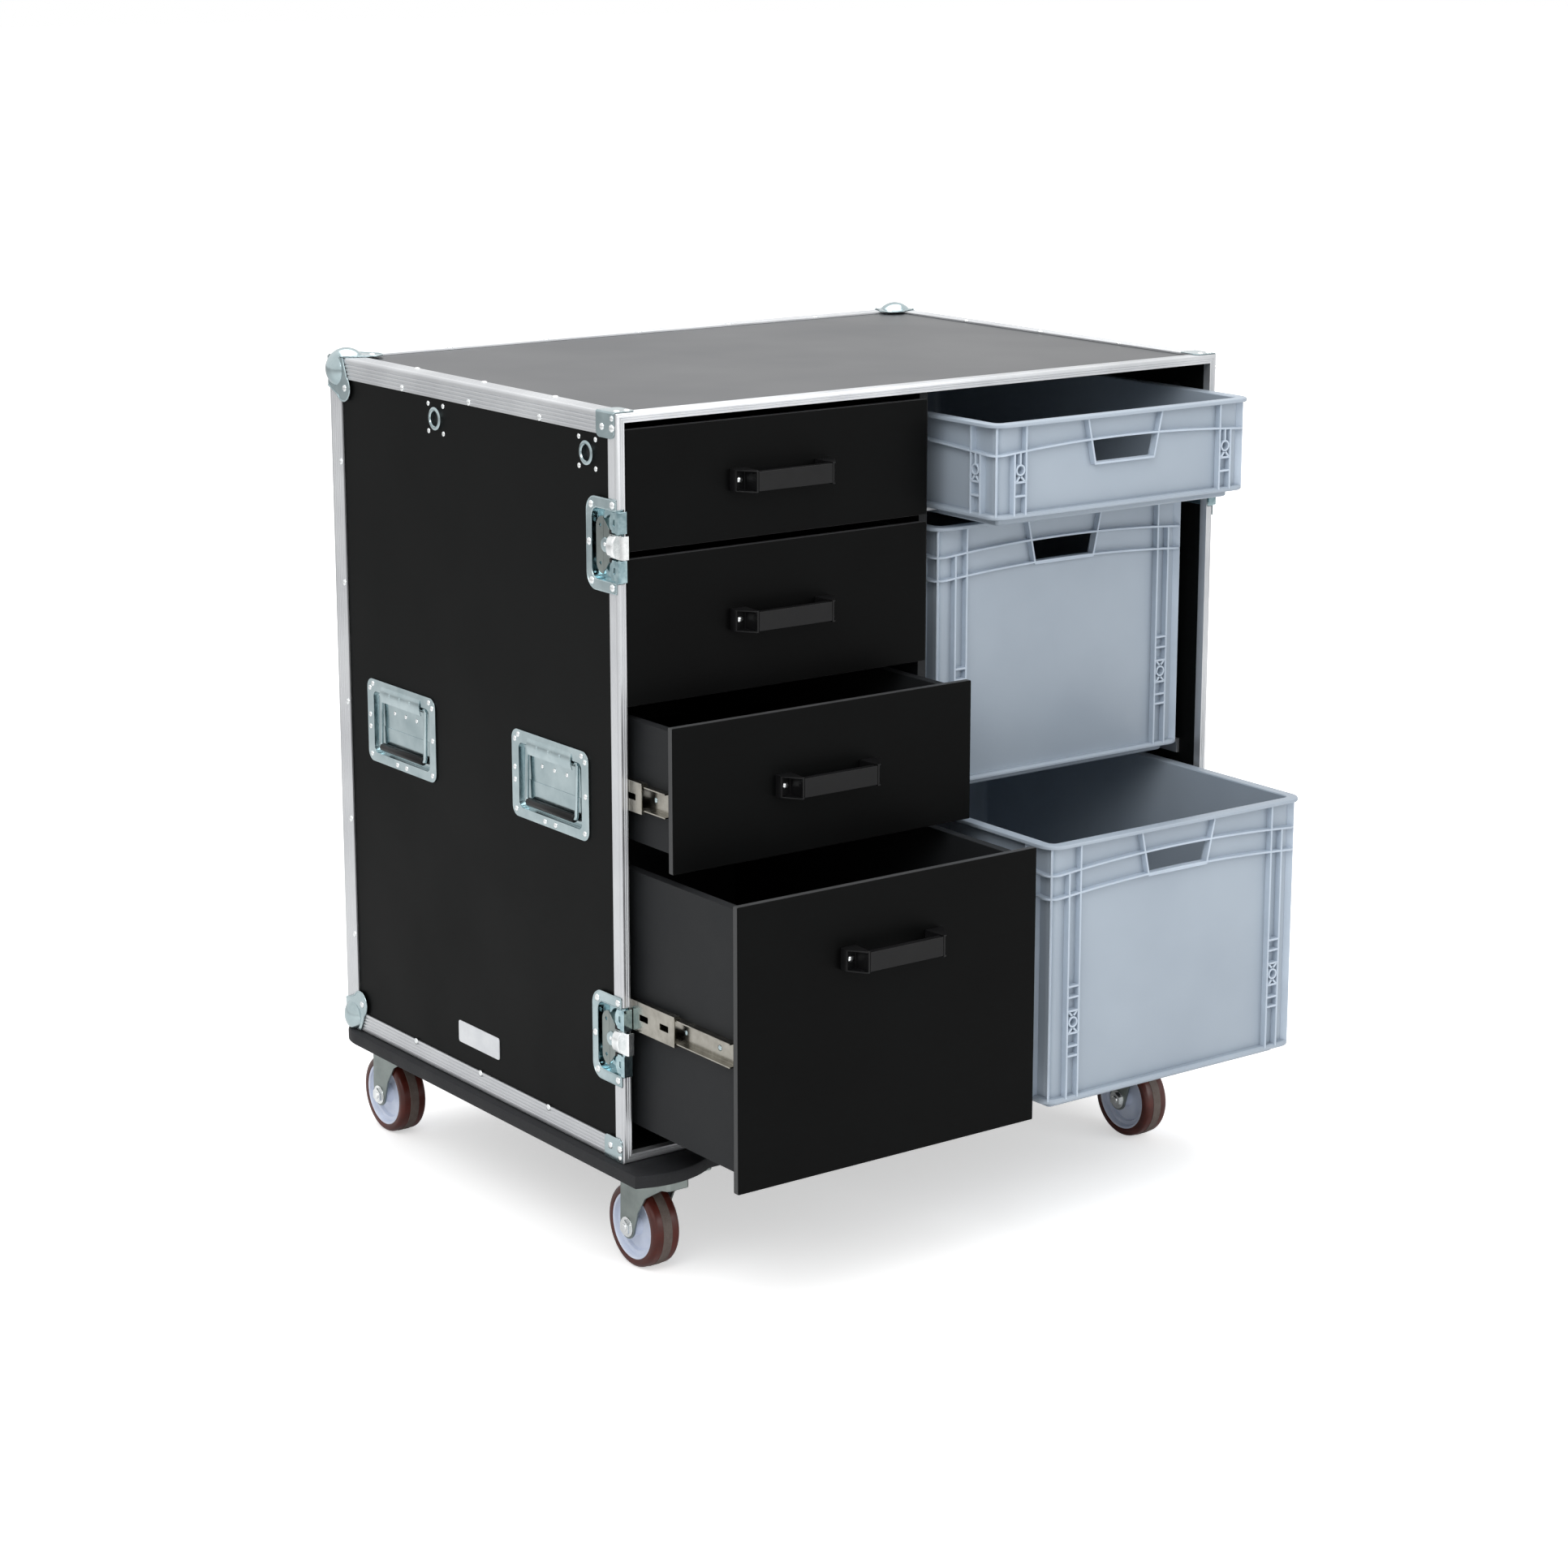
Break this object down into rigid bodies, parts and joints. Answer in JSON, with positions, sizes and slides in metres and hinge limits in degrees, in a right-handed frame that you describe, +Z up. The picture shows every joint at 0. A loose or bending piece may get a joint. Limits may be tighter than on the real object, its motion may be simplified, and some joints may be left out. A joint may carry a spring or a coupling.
{
  "type": "tool flight case",
  "caption": "Wheeled tool flight case with aluminium edges, ball corners, butterfly latches and fold-out handles, holding drawers on ball slides beside ribbed stacking containers on rails",
  "frame": {"origin": "centre of the bounding box's underside, at the floor", "axes": "+X to the right seen from the open front, +Y to the back, +Z up; the front faces -Y"},
  "size_m": [0.8986, 0.9104, 1.0133],
  "materials": {
    "laminate": "black laminate on plywood, satin",
    "plywood": "black film-faced birch plywood, satin",
    "aluminium": "extruded, mill finish",
    "zinc": "pressed steel, bright zinc plated",
    "black_plastic": "moulded, satin",
    "grey_plastic": "injection moulded polypropylene, satin",
    "tread": "polyurethane tread on a plastic hub"
  },
  "bodies": {
    "case": {"bottom_panel": "laminate", "castor_board": "plywood", "divider": "plywood", "front_frame": "aluminium", "left_front_handle_dish": "zinc", "left_lower_latch_dish": "zinc", "left_panel": "laminate", "left_rear_handle_dish": "zinc", "left_upper_latch_dish": "zinc", "lower_left_ball_corner": "zinc", "lower_right_ball_corner": "zinc", "rear_frame": "aluminium", "rear_panel": "laminate", "right_front_handle_dish": "zinc", "right_lower_latch_dish": "zinc", "right_panel": "laminate", "right_rear_handle_dish": "zinc", "right_upper_latch_dish": "zinc", "top_panel": "laminate", "upper_left_ball_corner": "zinc", "upper_right_ball_corner": "zinc"},
    "drawer_1": {"drawer_1": "plywood", "drawer_1_pull": "black_plastic"},
    "drawer_1_left_middle_slide": {"drawer_1_left_middle_slide": "zinc"},
    "drawer_1_right_middle_slide": {"drawer_1_right_middle_slide": "zinc"},
    "drawer_2": {"drawer_2": "plywood", "drawer_2_pull": "black_plastic"},
    "drawer_2_left_middle_slide": {"drawer_2_left_middle_slide": "zinc"},
    "drawer_2_right_middle_slide": {"drawer_2_right_middle_slide": "zinc"},
    "drawer_3": {"drawer_3": "plywood", "drawer_3_pull": "black_plastic"},
    "drawer_3_left_middle_slide": {"drawer_3_left_middle_slide": "zinc"},
    "drawer_3_right_middle_slide": {"drawer_3_right_middle_slide": "zinc"},
    "drawer_4": {"drawer_4": "plywood", "drawer_4_pull": "black_plastic"},
    "drawer_4_left_middle_slide": {"drawer_4_left_middle_slide": "zinc"},
    "drawer_4_right_middle_slide": {"drawer_4_right_middle_slide": "zinc"},
    "container_upper": {"container_upper": "grey_plastic"},
    "container_middle": {"container_middle": "grey_plastic"},
    "container_lower": {"container_lower": "grey_plastic"},
    "left_upper_latch_key": {"left_upper_latch_key": "zinc"},
    "left_upper_latch_hook": {"left_upper_latch_hook": "zinc"},
    "left_lower_latch_key": {"left_lower_latch_key": "zinc"},
    "left_lower_latch_hook": {"left_lower_latch_hook": "zinc"},
    "left_front_handle_bail": {"left_front_handle_bail": "zinc"},
    "left_rear_handle_bail": {"left_rear_handle_bail": "zinc"},
    "right_upper_latch_key": {"right_upper_latch_key": "zinc"},
    "right_upper_latch_hook": {"right_upper_latch_hook": "zinc"},
    "right_lower_latch_key": {"right_lower_latch_key": "zinc"},
    "right_lower_latch_hook": {"right_lower_latch_hook": "zinc"},
    "right_front_handle_bail": {"right_front_handle_bail": "zinc"},
    "right_rear_handle_bail": {"right_rear_handle_bail": "zinc"},
    "front_left_fork": {"front_left_castor_fork": "zinc"},
    "front_left_wheel": {"front_left_castor_wheel": "tread"},
    "front_right_fork": {"front_right_castor_fork": "zinc"},
    "front_right_wheel": {"front_right_castor_wheel": "tread"},
    "rear_left_fork": {"rear_left_castor_fork": "zinc"},
    "rear_left_wheel": {"rear_left_castor_wheel": "tread"},
    "rear_right_fork": {"rear_right_castor_fork": "zinc"},
    "rear_right_wheel": {"rear_right_castor_wheel": "tread"}
  },
  "joints": [
    {"name": "drawer_1_slide", "type": "slide", "parent": "case", "child": "drawer_1", "axis": [0, -1, 0], "range_m": [0, 0.55]},
    {"name": "drawer_1_left_middle_slide_travel", "type": "slide", "parent": "case", "child": "drawer_1_left_middle_slide", "axis": [0, -1, 0], "range_m": [0, 0.275]},
    {"name": "drawer_1_right_middle_slide_travel", "type": "slide", "parent": "case", "child": "drawer_1_right_middle_slide", "axis": [0, -1, 0], "range_m": [0, 0.275]},
    {"name": "drawer_2_slide", "type": "slide", "parent": "case", "child": "drawer_2", "axis": [0, -1, 0], "range_m": [0, 0.55]},
    {"name": "drawer_2_left_middle_slide_travel", "type": "slide", "parent": "case", "child": "drawer_2_left_middle_slide", "axis": [0, -1, 0], "range_m": [0, 0.275]},
    {"name": "drawer_2_right_middle_slide_travel", "type": "slide", "parent": "case", "child": "drawer_2_right_middle_slide", "axis": [0, -1, 0], "range_m": [0, 0.275]},
    {"name": "drawer_3_slide", "type": "slide", "parent": "case", "child": "drawer_3", "axis": [0, -1, 0], "range_m": [-0.085, 0.465]},
    {"name": "drawer_3_left_middle_slide_travel", "type": "slide", "parent": "case", "child": "drawer_3_left_middle_slide", "axis": [0, -1, 0], "range_m": [-0.0425, 0.2325]},
    {"name": "drawer_3_right_middle_slide_travel", "type": "slide", "parent": "case", "child": "drawer_3_right_middle_slide", "axis": [0, -1, 0], "range_m": [-0.0425, 0.2325]},
    {"name": "drawer_4_slide", "type": "slide", "parent": "case", "child": "drawer_4", "axis": [0, -1, 0], "range_m": [-0.205, 0.345]},
    {"name": "drawer_4_left_middle_slide_travel", "type": "slide", "parent": "case", "child": "drawer_4_left_middle_slide", "axis": [0, -1, 0], "range_m": [-0.1025, 0.1725]},
    {"name": "drawer_4_right_middle_slide_travel", "type": "slide", "parent": "case", "child": "drawer_4_right_middle_slide", "axis": [0, -1, 0], "range_m": [-0.1025, 0.1725]},
    {"name": "container_upper_slide", "type": "slide", "parent": "case", "child": "container_upper", "axis": [0, -1, 0], "range_m": [-0.105, 0.345]},
    {"name": "container_middle_slide", "type": "slide", "parent": "case", "child": "container_middle", "axis": [0, -1, 0], "range_m": [0, 0.45]},
    {"name": "container_lower_slide", "type": "slide", "parent": "case", "child": "container_lower", "axis": [0, -1, 0], "range_m": [-0.213, 0.237]},
    {"name": "left_upper_latch_key_fold", "type": "hinge", "parent": "case", "child": "left_upper_latch_key", "pos_m": [-0.4356, -0.18745, 0.8485], "axis": [0, 0, 1], "range_deg": [0, 90]},
    {"name": "left_upper_latch_hook_throw", "type": "slide", "parent": "case", "child": "left_upper_latch_hook", "axis": [0, -1, 0], "range_m": [0, 0.008]},
    {"name": "left_lower_latch_key_fold", "type": "hinge", "parent": "case", "child": "left_lower_latch_key", "pos_m": [-0.4356, -0.18745, 0.2866], "axis": [0, 0, 1], "range_deg": [0, 90]},
    {"name": "left_lower_latch_hook_throw", "type": "slide", "parent": "case", "child": "left_lower_latch_hook", "axis": [0, -1, 0], "range_m": [0, 0.008]},
    {"name": "left_front_handle_bail_swing", "type": "hinge", "parent": "case", "child": "left_front_handle_bail", "pos_m": [-0.433, -0.07585, 0.5958], "axis": [0, 1, 0], "range_deg": [0, 90], "stiffness_Nm_per_rad": 0.2},
    {"name": "left_rear_handle_bail_swing", "type": "hinge", "parent": "case", "child": "left_rear_handle_bail", "pos_m": [-0.433, 0.25745, 0.5958], "axis": [0, 1, 0], "range_deg": [0, 90], "stiffness_Nm_per_rad": 0.2},
    {"name": "right_upper_latch_key_fold", "type": "hinge", "parent": "case", "child": "right_upper_latch_key", "pos_m": [0.4356, -0.18745, 0.8485], "axis": [0, 0, -1], "range_deg": [0, 90]},
    {"name": "right_upper_latch_hook_throw", "type": "slide", "parent": "case", "child": "right_upper_latch_hook", "axis": [0, -1, 0], "range_m": [0, 0.008]},
    {"name": "right_lower_latch_key_fold", "type": "hinge", "parent": "case", "child": "right_lower_latch_key", "pos_m": [0.4356, -0.18745, 0.2866], "axis": [0, 0, -1], "range_deg": [0, 90]},
    {"name": "right_lower_latch_hook_throw", "type": "slide", "parent": "case", "child": "right_lower_latch_hook", "axis": [0, -1, 0], "range_m": [0, 0.008]},
    {"name": "right_front_handle_bail_swing", "type": "hinge", "parent": "case", "child": "right_front_handle_bail", "pos_m": [0.433, -0.07585, 0.5958], "axis": [0, -1, 0], "range_deg": [0, 90], "stiffness_Nm_per_rad": 0.2},
    {"name": "right_rear_handle_bail_swing", "type": "hinge", "parent": "case", "child": "right_rear_handle_bail", "pos_m": [0.433, 0.25745, 0.5958], "axis": [0, -1, 0], "range_deg": [0, 90], "stiffness_Nm_per_rad": 0.2},
    {"name": "front_left_swivel", "type": "hinge", "parent": "case", "child": "front_left_fork", "pos_m": [-0.3745, -0.20385, 0.125], "axis": [0, 0, 1], "continuous": true},
    {"name": "front_left_axle", "type": "hinge", "parent": "front_left_fork", "child": "front_left_wheel", "pos_m": [-0.3745, -0.16585, 0.05], "axis": [1, 0, 0], "continuous": true},
    {"name": "front_right_swivel", "type": "hinge", "parent": "case", "child": "front_right_fork", "pos_m": [0.3745, -0.20385, 0.125], "axis": [0, 0, 1], "continuous": true},
    {"name": "front_right_axle", "type": "hinge", "parent": "front_right_fork", "child": "front_right_wheel", "pos_m": [0.3745, -0.16585, 0.05], "axis": [1, 0, 0], "continuous": true},
    {"name": "rear_left_swivel", "type": "hinge", "parent": "case", "child": "rear_left_fork", "pos_m": [-0.3745, 0.36715, 0.125], "axis": [0, 0, 1], "continuous": true},
    {"name": "rear_left_axle", "type": "hinge", "parent": "rear_left_fork", "child": "rear_left_wheel", "pos_m": [-0.3745, 0.40515, 0.05], "axis": [1, 0, 0], "continuous": true},
    {"name": "rear_right_swivel", "type": "hinge", "parent": "case", "child": "rear_right_fork", "pos_m": [0.3745, 0.36715, 0.125], "axis": [0, 0, 1], "continuous": true},
    {"name": "rear_right_axle", "type": "hinge", "parent": "rear_right_fork", "child": "rear_right_wheel", "pos_m": [0.3745, 0.40515, 0.05], "axis": [1, 0, 0], "continuous": true}
  ],
  "couplings": [
    {"joint": "drawer_1_left_middle_slide_travel", "follows": "drawer_1_slide", "ratio": 0.5},
    {"joint": "drawer_1_right_middle_slide_travel", "follows": "drawer_1_slide", "ratio": 0.5},
    {"joint": "drawer_2_left_middle_slide_travel", "follows": "drawer_2_slide", "ratio": 0.5},
    {"joint": "drawer_2_right_middle_slide_travel", "follows": "drawer_2_slide", "ratio": 0.5},
    {"joint": "drawer_3_left_middle_slide_travel", "follows": "drawer_3_slide", "ratio": 0.5},
    {"joint": "drawer_3_right_middle_slide_travel", "follows": "drawer_3_slide", "ratio": 0.5},
    {"joint": "drawer_4_left_middle_slide_travel", "follows": "drawer_4_slide", "ratio": 0.5},
    {"joint": "drawer_4_right_middle_slide_travel", "follows": "drawer_4_slide", "ratio": 0.5}
  ]
}
